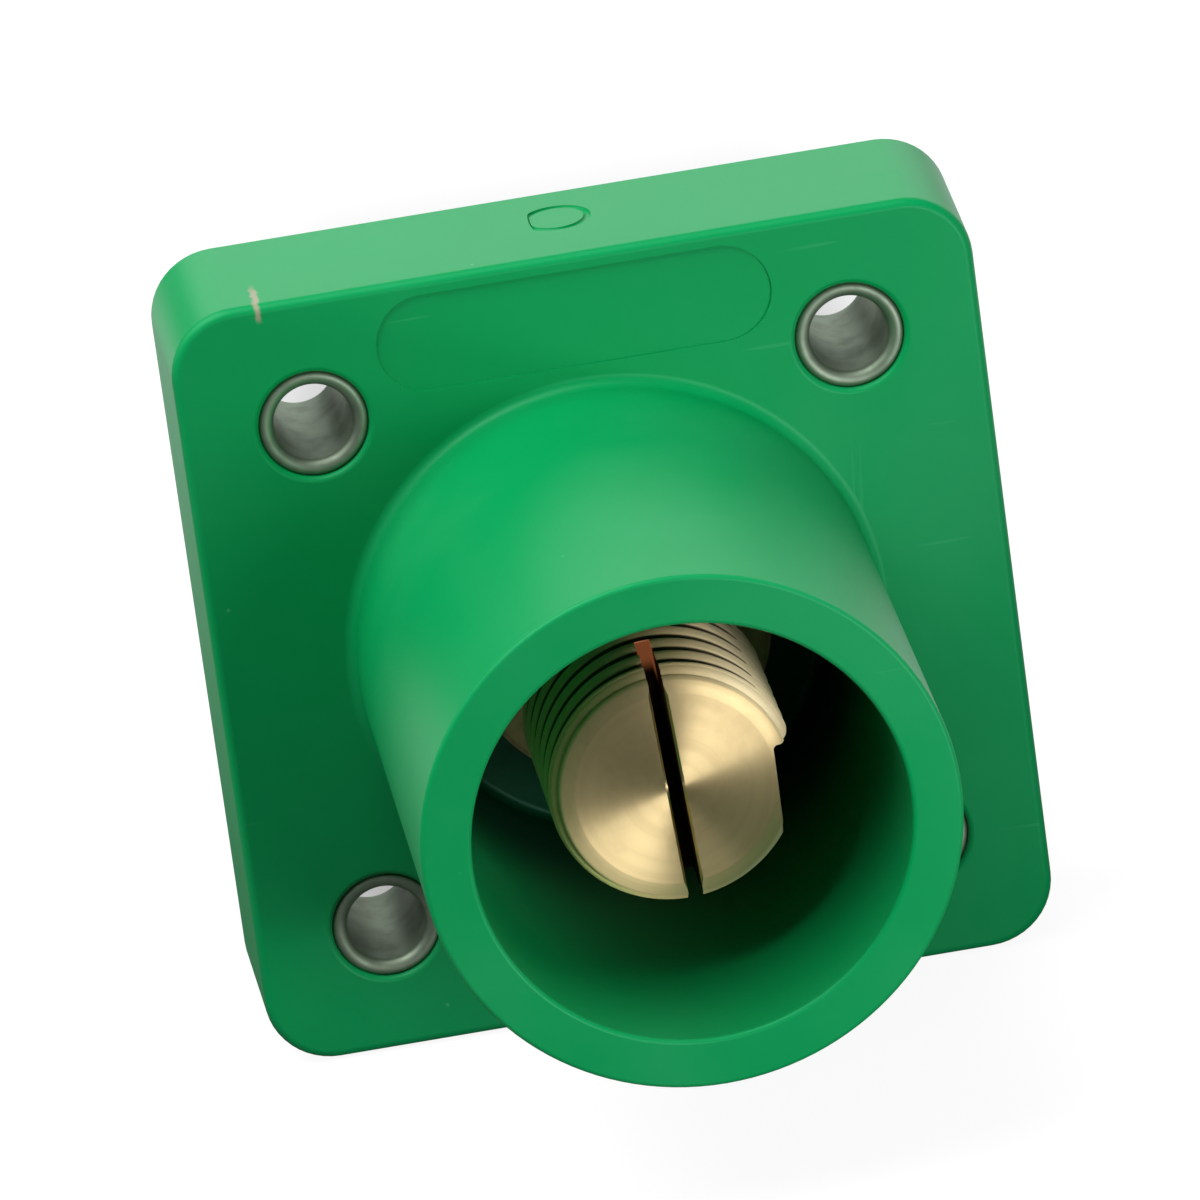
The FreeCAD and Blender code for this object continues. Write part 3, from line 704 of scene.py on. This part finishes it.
def machined(slot, colour, dull, lines):
    """Machined metal of the rear hardware."""
    material, tree, surface, place = start_material("finished_" + slot)
    marks = place_effect(tree, "turning_marks", place, Lines=lines)
    wear = place_effect(tree, "handling_marks", place, Spacing=0.004, Size=0.04)
    cloud = noise(tree, place, 300.0, 4.0, 0.6)
    tarnish = work_out(tree, "MAXIMUM", times(tree, ease(tree, cloud, 0.38, 0.75), 0.4),
                       times(tree, wear["Scratches"], 0.3))
    base = blend_colours(tree, tarnish, opaque(colour), dull)
    rough = work_out(tree, "MULTIPLY_ADD", cloud, 0.2, 0.44)
    feed(tree, surface, {"Base Color": base, "Roughness": rough, "Metallic": 1.0})
    bump(tree, surface, marks["Height"], 0.2, 0.012)
    return material


def finish_for(slot):
    """Finish of a slot, built the first time that it is asked for."""
    found = bpy.data.materials.get("finished_" + slot)
    if found:
        return found
    colours = bpy.context.scene.finish_colours
    makers = {"green_insulator": green_insulator, "contact_brass": contact_brass,
              "bushing_steel": bushing_steel}
    if slot in makers:
        return makers[slot](colours)
    if slot == "hardware_brass":
        return machined(slot, colours.hardware, opaque(colours.brass_dull), 5200.0)
    return machined(slot, colours.spring, (0.13, 0.13, 0.13, 1.0), 4200.0)


# Pieces

def flange_plate(sizes, pitch, hole):
    """Flange with its rounded corners, holes and recess; the gate mark and the opening for the round
    body are cut later.
    """
    front = sizes.thickness
    plate = block("insulator", (0, -front / 2, 0), (sizes.side, front, sizes.side))
    rear_side = -2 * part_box("insulator_housing")[0].x / MM
    choose(plate, "VERT", lambda point: point.y > -1)
    grow = rear_side / sizes.side
    bpy.ops.transform.resize(value=(grow, 1, grow), center_override=(0, 0, 0))
    soften(plate, lambda first, last: abs(first.y - last.y) > 1, sizes.corner, 12)
    soften(plate, lambda first, last: first.y < 0.1 - front and last.y < 0.1 - front,
           sizes.edge, 4)

    for across in (-pitch / 2, pitch / 2):
        for rise in (-pitch / 2, pitch / 2):
            drill = turned("drill", [(0, -1), (hole, -1), (hole, front + 1), (0, front + 1)],
                           SMALL_STEPS)
            edit(drill)
            bpy.ops.transform.translate(value=(across * MM, 0, rise * MM))
            carve(plate, drill)

    def round_mouth(first, last):
        """Edges where a bushing's hole opens in the front face."""
        return all(abs(math.hypot(abs(point.x) - pitch / 2, abs(point.z) - pitch / 2) - hole)
                   < 10 * HAIR and abs(point.y + front) < 10 * HAIR for point in (first, last))
    soften(plate, round_mouth, sizes.mouth, 3)

    oval = block("oval", (0, -front, sizes.recess_rise),
                 (sizes.recess, 2 * sizes.recess_depth, sizes.recess_height))
    soften(oval, lambda first, last: abs(first.y - last.y) > sizes.recess_depth,
           sizes.recess_height / 2 - HAIR, 16)
    carve(plate, oval)
    return plate


def gate_mark_cutter(top, station):
    """Groove of the gate mark: a ring with one straight side."""
    clear()
    bpy.ops.mesh.primitive_torus_add(location=(0.35 * MM, -station * MM, (top + 0.06) * MM),
                                     major_radius=2.62 * MM, minor_radius=0.32 * MM,
                                     major_segments=56, minor_segments=12)
    ring = named("gate_mark")
    choose(ring, "VERT", lambda point: point.x < -1.7)
    bpy.ops.transform.resize(value=(0.22, 1, 1), center_override=(-1.7 * MM, 0, 0))
    clear()
    return ring


def round_body(sizes, foot):
    """Barrel, cup and rear boss as one turned shell, open where it meets the flange."""
    rim, edge, root = sizes.rim, sizes.rim_edge, sizes.root
    floor_round = 0.8
    shank, seat, seat_floor, lead = SHANK + MOULDING_GAP, 13.3, 11.5, 0.8
    outline = rounded((foot, sizes.thickness + root), root, 270, 180, 7)
    outline += rounded((sizes.barrel - edge, rim - edge), edge, 0, 90, 5)
    outline += rounded((sizes.cup + edge, rim - edge), edge, 90, 180, 5)
    outline += rounded((sizes.cup - floor_round, sizes.floor + floor_round), floor_round,
                       0, -90, 5)
    outline += [(shank, sizes.floor), (shank, -seat_floor), (seat, -seat_floor),
                (seat, -sizes.rear), (sizes.boss - lead, -sizes.rear),
                (sizes.boss, lead - sizes.rear), (sizes.boss, 0), (foot, 0)]
    return turned("round_body", outline, ROUND_STEPS)


class BuildHousing(bpy.types.Operator):
    """Model the green insulator: flange, barrel, cup and rear boss"""
    bl_idname = "receptacle.build_housing"
    bl_label = "Insulator Housing"

    def execute(self, context):
        sizes = context.scene.housing_sizes
        bushings = context.scene.bushing_sizes
        foot = sizes.barrel + sizes.root
        housing = flange_plate(sizes, bushings.pitch, bushings.outside + MOULDING_GAP)
        carve(housing, gate_mark_cutter(sizes.side / 2 + 0.13, GATE_STATION))
        opening = turned("opening", [(0, -1), (foot, -1), (foot, sizes.thickness + 1),
                                     (0, sizes.thickness + 1)], ROUND_STEPS)
        carve(housing, opening)
        choose(housing, "FACE", lambda centre, normal: abs(from_axis(centre) - foot) < 0.1
               and abs(normal.y) < 0.1)
        bpy.ops.mesh.delete(type="FACE")
        clear()
        join(housing, round_body(sizes, foot))
        close_up(housing)
        shade_smooth(housing, 35)
        dress(housing, "green_insulator", "insulator_housing")
        return {"FINISHED"}


class BuildBushings(bpy.types.Operator):
    """Model one steel mounting bushing and copy it to the flange's four corners"""
    bl_idname = "receptacle.build_bushings"
    bl_label = "Mounting Bushings"

    def execute(self, context):
        sizes = context.scene.bushing_sizes
        front, lip = sizes.front, sizes.crest - sizes.bore
        skirt = sizes.outside - sizes.crest
        outline = [(sizes.bore, 0.35), (sizes.bore + 0.3, 0), (sizes.outside - 0.2, 0),
                   (sizes.outside, 0.2)]
        outline += rounded((sizes.crest, front - skirt), skirt, 0, 90, 5)
        outline += rounded((sizes.crest, front - lip), lip, 90, 180, 8)[1:]
        first = turned("bushing", outline, SMALL_STEPS, looped=True)
        shade_smooth(first, 40)
        half = sizes.pitch / 2
        for rise, level in ((1, "top"), (-1, "bottom")):
            for side, hand in ((-1, "left"), (1, "right")):
                name = "bushing_%s_%s" % (level, hand)
                piece = copy_at(first, name, (side * half, 0, rise * half))
                dress(piece, "bushing_steel", "mounting_" + name)
        bpy.data.objects.remove(first, do_unlink=True)
        return {"FINISHED"}


def crowned_lands(sizes, end):
    """Outline of the lands from the first one to the neck, with the V grooves between."""
    crest = sizes.land
    shoulder = crest - sizes.crown
    outline = []

    def land(start, stop):
        """One land, bulging a little between its two shoulders."""
        for share in (0.0, 0.06, 0.18, 0.5, 0.82, 0.94, 1.0):
            bulge = 1 - (2 * share - 1) ** 4
            outline.append((shoulder + sizes.crown * bulge, start + (stop - start) * share))

    station = sizes.tip - 1.55
    middle = sizes.tip - sizes.first
    while middle > end + sizes.pitch / 3:
        land(station, middle + sizes.mouth / 2)
        outline.append((crest - sizes.depth, middle))
        station = middle - sizes.mouth / 2
        middle -= sizes.pitch
    land(station, end)
    return outline


def pin_outline(sizes, core):
    """Outline of the turned contact from the middle of its tip to the stud's end."""
    tip = sizes.tip
    lands_end = tip - sizes.lands
    front, rear = sizes.collar_face, -sizes.end
    outline = [(0, tip), (sizes.face - 0.12, tip), (sizes.face, tip - 0.03)]
    outline += rounded((sizes.ring - 0.55, tip - 0.75), 0.55, 62, 0, 6)
    outline += [(sizes.ring, tip - 0.80), (sizes.ring - 0.16, tip - 0.90),
                (sizes.ring - 0.16, tip - 0.96), (sizes.ring + 0.06, tip - 1.02),
                (sizes.ring + 0.28, tip - 1.12), (sizes.ring + 0.46, tip - 1.30)]
    outline += crowned_lands(sizes, lands_end)
    outline += [(sizes.neck, lands_end - 1.0), (sizes.neck, front + 0.3),
                (sizes.neck + 0.3, front), (sizes.collar - 0.5, front),
                (sizes.collar, front - 0.5), (sizes.collar, sizes.seat), (SHANK, sizes.seat),
                (SHANK, SHANK_END + 0.2), (SHANK - 0.2, SHANK_END), (core, SHANK_END),
                (core, rear + 0.2), (core - 0.2, rear), (0, rear)]
    return outline


def turn_piece(piece, angle):
    """Turn a piece's mesh about the connector's axis, anticlockwise from the front."""
    piece.data.transform(Matrix.Rotation(angle, 4, "Y"))


def cut_slot(pin, sizes):
    """Saw the slot across the tip and break its edges."""
    clear()
    middle = sizes.tip - sizes.slot_depth + sizes.saw
    bpy.ops.mesh.primitive_cylinder_add(
        vertices=160, radius=sizes.saw * MM, depth=sizes.slot * MM,
        location=(0, -middle * MM, 0), rotation=(0, math.pi / 2, 0))
    blade = named("blade")
    turn_piece(blade, -sizes.turn)
    carve(pin, blade)
    for edge in (-sizes.slot / 2, sizes.slot / 2):
        clear()
        bpy.ops.mesh.primitive_cube_add(
            size=MM, location=(edge * MM, -sizes.tip * MM, 0),
            rotation=(0, 0, math.pi / 4), scale=(0.26, 0.26, 24.0))
        file = named("file")
        turn_piece(file, -sizes.turn)
        carve(pin, file)


def cut_cam(pin, sizes):
    """Mill the cam channel along the pin's right side and its track round the underside."""
    front = sizes.tip
    lip = rounded((8.61, 3.1), 0.9, 19.8, -90, 9)
    corner = rounded((8.5, 1.85), 0.35, 90, 180, 4)
    outline = [(12.0, -7.0), (12.0, 5.0)] + lip + corner + [(sizes.cam_floor, -7.0)]
    rear = front - sizes.cam_length
    carve(pin, prism("channel", outline, front + 1, rear))
    ahead = rear + sizes.track_width
    track = turned("track", [(sizes.track_radius, rear), (13.0, rear), (13.0, ahead),
                             (sizes.track_radius, ahead)], ROUND_STEPS, looped=True)
    edit(track)
    bpy.ops.transform.translate(value=(0, 0, sizes.track_offset * MM))
    clear()
    keep = block("sector", (-1.5, -(rear + ahead) / 2, -8.6), (17.0, 8.0, 13.0))
    carve(track, keep, "INTERSECT")
    carve(pin, track)


def thread_ridge(sizes, core, front):
    """Closed helical ridge of the stud's thread, trimmed to the stud's chamfered form."""
    pitch, crest = sizes.thread, sizes.stud
    root, wide, narrow = core - 0.15, 0.44 * pitch, 0.07 * pitch
    turns = math.floor((sizes.end - front) / pitch)
    ridge = traced("thread", [(root, front + wide, 0), (crest, front + narrow, 0),
                              (crest, front - narrow, 0), (root, front - wide, 0)])
    bpy.ops.mesh.edge_face_add()
    bpy.ops.mesh.delete(type="ONLY_FACE")
    take(ridge)
    wind = ridge.modifiers.new("wind", "SCREW")
    wind.axis = "Y"
    wind.angle = math.tau * turns
    wind.screw_offset = turns * pitch * MM
    wind.steps = wind.render_steps = turns * 40
    wind.use_merge_vertices = False
    bpy.ops.object.modifier_apply(modifier=wind.name)
    for level in (front, front + turns * pitch):
        choose(ridge, "EDGE", lambda first, last: all(
            abs(point.z) < HAIR and point.x > 0 and abs(point.y - level) < wide + HAIR
            for point in (first, last)))
        bpy.ops.mesh.edge_face_add()
    close_up(ridge)
    envelope = turned("envelope", [(0, -front), (crest - 0.9, -front),
                                   (crest + HAIR, -0.9 - front), (crest + HAIR, 1.0 - sizes.end),
                                   (crest - 1.0, -sizes.end), (0, -sizes.end)], ROUND_STEPS)
    carve(ridge, envelope, "INTERSECT")
    return ridge


class BuildContact(bpy.types.Operator):
    """Model the brass contact: turned pin, ring grooves, sawn slot, cam track and stud"""
    bl_idname = "receptacle.build_contact"
    bl_label = "Male Contact"

    def execute(self, context):
        sizes = context.scene.contact_sizes
        core = sizes.stud - 1.0
        pin = turned("contact", pin_outline(sizes, core), FINE_STEPS)
        cut_slot(pin, sizes)
        cut_cam(pin, sizes)
        close_up(pin)
        join(pin, thread_ridge(sizes, core, -SHANK_END))
        shade_smooth(pin, 32)
        dress(pin, "contact_brass", "male_contact")
        return {"FINISHED"}


def make_washer(name, node, outside, hole):
    """Washer with broken edges, in the place of its CAD node."""
    rear, front = node_depth(node)
    washer = turned(name, [(hole, front), (outside, front), (outside, rear), (hole, rear)],
                    ROUND_STEPS, looped=True)
    soften(washer, lambda first, last: ring_at(outside, front)(first, last)
           or ring_at(outside, rear)(first, last), 0.35, 3)
    return washer


def make_nut(name, node, flats, bore):
    """Hexagon nut with its corners turned off and its thread countersunk."""
    rear, front = node_depth(node)
    corner = flats / math.sqrt(3)
    clear()
    bpy.ops.mesh.primitive_cylinder_add(
        vertices=6, radius=corner * MM, depth=(front - rear) * MM,
        location=(0, -(front + rear) / 2 * MM, 0), rotation=(math.pi / 2, 0, 0))
    nut = named(name)
    flat = flats / 2 - 0.1
    fall = 0.58 * (corner + 1 - flat)
    ends = turned("ends", [(0, front), (flat, front), (corner + 1, front - fall),
                           (corner + 1, rear + fall), (flat, rear), (0, rear)], ROUND_STEPS)
    carve(nut, ends, "INTERSECT")
    sink = 0.7
    mouth = bore + sink + 1
    tap = turned("tap", [(0, front + 1), (mouth, front + 1), (bore, front - sink),
                         (bore, rear + sink), (mouth, rear - 1), (0, rear - 1)], ROUND_STEPS)
    carve(nut, tap)
    return nut


class BuildHardware(bpy.types.Operator):
    """Model the nuts, the flat washers and the split lock washer on the stud"""
    bl_idname = "receptacle.build_hardware"
    bl_label = "Stud Hardware"

    def execute(self, context):
        sizes = context.scene.hardware_sizes
        for node in ("seat_washer", "inner_lug_washer", "outer_lug_washer"):
            piece = make_washer("flat_" + node, node, sizes.washer, sizes.hole)
            shade_smooth(piece, 35)
            dress(piece, "hardware_brass", node)
        bore = context.scene.contact_sizes.stud + sizes.thread_gap
        for node in ("jam_nut", "terminal_nut"):
            piece = make_nut("hex_" + node, node, sizes.flats, bore)
            shade_smooth(piece, 30)
            dress(piece, "hardware_brass", node)
        node = "split_lock_washer"
        spring = make_washer("spring_washer", node, sizes.lock, sizes.hole)
        middle = -sum(node_depth(node)) / 2
        gap = block("gap", (0, 0, 9.0), (sizes.split, 8.0, 7.0))
        gap.data.transform(Matrix.Translation((0, middle * MM, 0))
                           @ Matrix.Rotation(sizes.slant, 4, "Z"))
        carve(spring, gap)
        shade_smooth(spring, 35)
        dress(spring, "spring_steel", node)
        return {"FINISHED"}


# Stage

def softbox(name, direction, distance, size, power, lean=0.0):
    """Oblong area lamp that shines on the connector from a direction, leaning by an angle."""
    clear()
    way = Vector(direction).normalized()
    place = AIM + way * distance
    turn = (way.to_track_quat("Z", "Y")
            @ Quaternion((0, 0, 1), math.radians(lean))).to_euler()
    bpy.ops.object.light_add(type="AREA", location=place, rotation=turn)
    lamp = bpy.context.active_object
    lamp.name = name
    lamp.data.shape = "RECTANGLE"
    lamp.data.size, lamp.data.size_y = size
    lamp.data.energy = power


def pale_floor(colours):
    """Plain floor, white to the camera, shadowed behind the flange and pale in mirrors there."""
    material, tree, surface, place = start_material("pale_floor")
    parts = axes(tree, place)
    # Painted shadow on the floor behind the flange, taken out of its glow to the camera
    across = work_out(tree, "MULTIPLY_ADD", parts["Y"], -0.08, parts["X"])
    shadow = times(tree, ease(tree, work_out(tree, "ABSOLUTE", across), 0.037, 0.019),
                   ease(tree, parts["Y"], -0.010, 0.022),
                   ease(tree, parts["Y"], 0.23, 0.11))
    path = add_node(tree, "ShaderNodeLightPath")
    seen = times(tree, path.outputs["Is Camera Ray"],
                 work_out(tree, "MULTIPLY_ADD", shadow, -0.66, 0.92))
    beyond = work_out(tree, "MULTIPLY_ADD", parts["X"], 0.5, parts["Y"])
    mirrored = times(tree, path.outputs["Is Glossy Ray"], ease(tree, beyond, 0.0, 0.20))
    feed(tree, surface, {"Base Color": opaque(colours.floor), "Roughness": 0.9,
                         "Specular IOR Level": 0.1, "Emission Color": (1.0, 1.0, 1.0, 1.0),
                         "Emission Strength": work_out(tree, "MAXIMUM", seen, mirrored)})
    return material


def light_room(level):
    """Even dim light from all round, white where the camera looks past the floor."""
    world = bpy.data.worlds.new("room")
    world.use_nodes = True
    tree = world.node_tree
    even = tree.nodes["Background"]
    feed(tree, even, {"Color": (0.95, 0.97, 1.0, 1.0), "Strength": level})
    white = add_node(tree, "ShaderNodeBackground", None,
                     {"Color": (1.0, 1.0, 1.0, 1.0), "Strength": 1.0})
    path = add_node(tree, "ShaderNodeLightPath")
    mix = add_node(tree, "ShaderNodeMixShader", None,
                   {0: path.outputs["Is Camera Ray"], 1: even.outputs["Background"],
                    2: white.outputs["Background"]})
    tree.links.new(mix.outputs["Shader"], tree.nodes["World Output"].inputs["Surface"])
    bpy.context.scene.world = world


class BuildStage(bpy.types.Operator):
    """Set the floor, the soft lamps and the camera"""
    bl_idname = "receptacle.build_stage"
    bl_label = "Stage"

    def execute(self, context):
        settings = context.scene.stage_settings
        clear()
        bpy.ops.mesh.primitive_plane_add(size=6.0, location=(0, 0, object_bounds()[0].z - HAIR * MM))
        floor = named("floor")
        floor.data.materials.append(pale_floor(context.scene.finish_colours))
        floor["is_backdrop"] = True
        light_room(settings.sky)
        softbox("key", (0.395, -0.92, 0.035), 0.62, (0.27, 0.13), settings.key, -27)
        softbox("overhead", (-0.38, -0.14, 0.91), 0.60, (0.55, 0.45), settings.top)
        softbox("fill", (-0.85, 0.10, 0.50), 0.70, (0.35, 0.50), settings.fill)
        softbox("card", (0.56, -0.82, -0.12), 0.20, (0.07, 0.012), settings.card)
        softbox("sheen", (0.34, 0.85, 0.42), 0.60, (0.90, 0.38), settings.back)

        lens = bpy.data.cameras.new("camera")
        lens.lens = settings.lens
        lens.sensor_width = 36.0
        lens.clip_start, lens.clip_end = 0.01, 20.0
        camera = bpy.data.objects.new("camera", lens)
        context.scene.collection.objects.link(camera)
        right = Vector((0.98367, -0.12657, -0.12799))
        up = Vector((0.16399, 0.33688, 0.92716))
        back = right.cross(up)
        camera.matrix_world = Matrix((
            (right.x, up.x, back.x, -0.07971), (right.y, up.y, back.y, -1.00423),
            (right.z, up.z, back.z, 0.37626), (0.0, 0.0, 0.0, 1.0)))
        context.scene.camera = camera
        context.scene.view_settings.view_transform = "Standard"
        return {"FINISHED"}


SETTINGS = (("housing_sizes", HousingSizes), ("bushing_sizes", BushingSizes),
            ("contact_sizes", ContactSizes), ("hardware_sizes", HardwareSizes),
            ("finish_colours", FinishColours), ("stage_settings", StageSettings))
OPERATORS = (BuildHousing, BuildBushings, BuildContact, BuildHardware, BuildStage)


class ReceptaclePanel(bpy.types.Panel):
    """List what can be built"""
    bl_idname = "VIEW3D_PT_receptacle"
    bl_label = "Cam Lock Receptacle"
    bl_space_type = "VIEW_3D"
    bl_region_type = "UI"
    bl_category = "Receptacle"

    def draw(self, context):
        for operator in OPERATORS:
            self.layout.operator(operator.bl_idname)
        for name, group in SETTINGS:
            box = self.layout.box()
            for field in group.__annotations__:
                box.prop(getattr(context.scene, name), field)


def register():
    for _, group in SETTINGS:
        bpy.utils.register_class(group)
    for name, group in SETTINGS:
        setattr(bpy.types.Scene, name, bpy.props.PointerProperty(type=group))
    for item in OPERATORS + (ReceptaclePanel,):
        bpy.utils.register_class(item)


def unregister():
    for item in reversed(OPERATORS + (ReceptaclePanel,)):
        bpy.utils.unregister_class(item)
    for name, group in SETTINGS:
        delattr(bpy.types.Scene, name)
        bpy.utils.unregister_class(group)


def main():
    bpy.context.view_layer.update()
    register()
    bpy.ops.receptacle.build_housing()
    bpy.ops.receptacle.build_bushings()
    bpy.ops.receptacle.build_contact()
    bpy.ops.receptacle.build_hardware()
    bpy.ops.receptacle.build_stage()


if __name__ == "__main__":
    main()
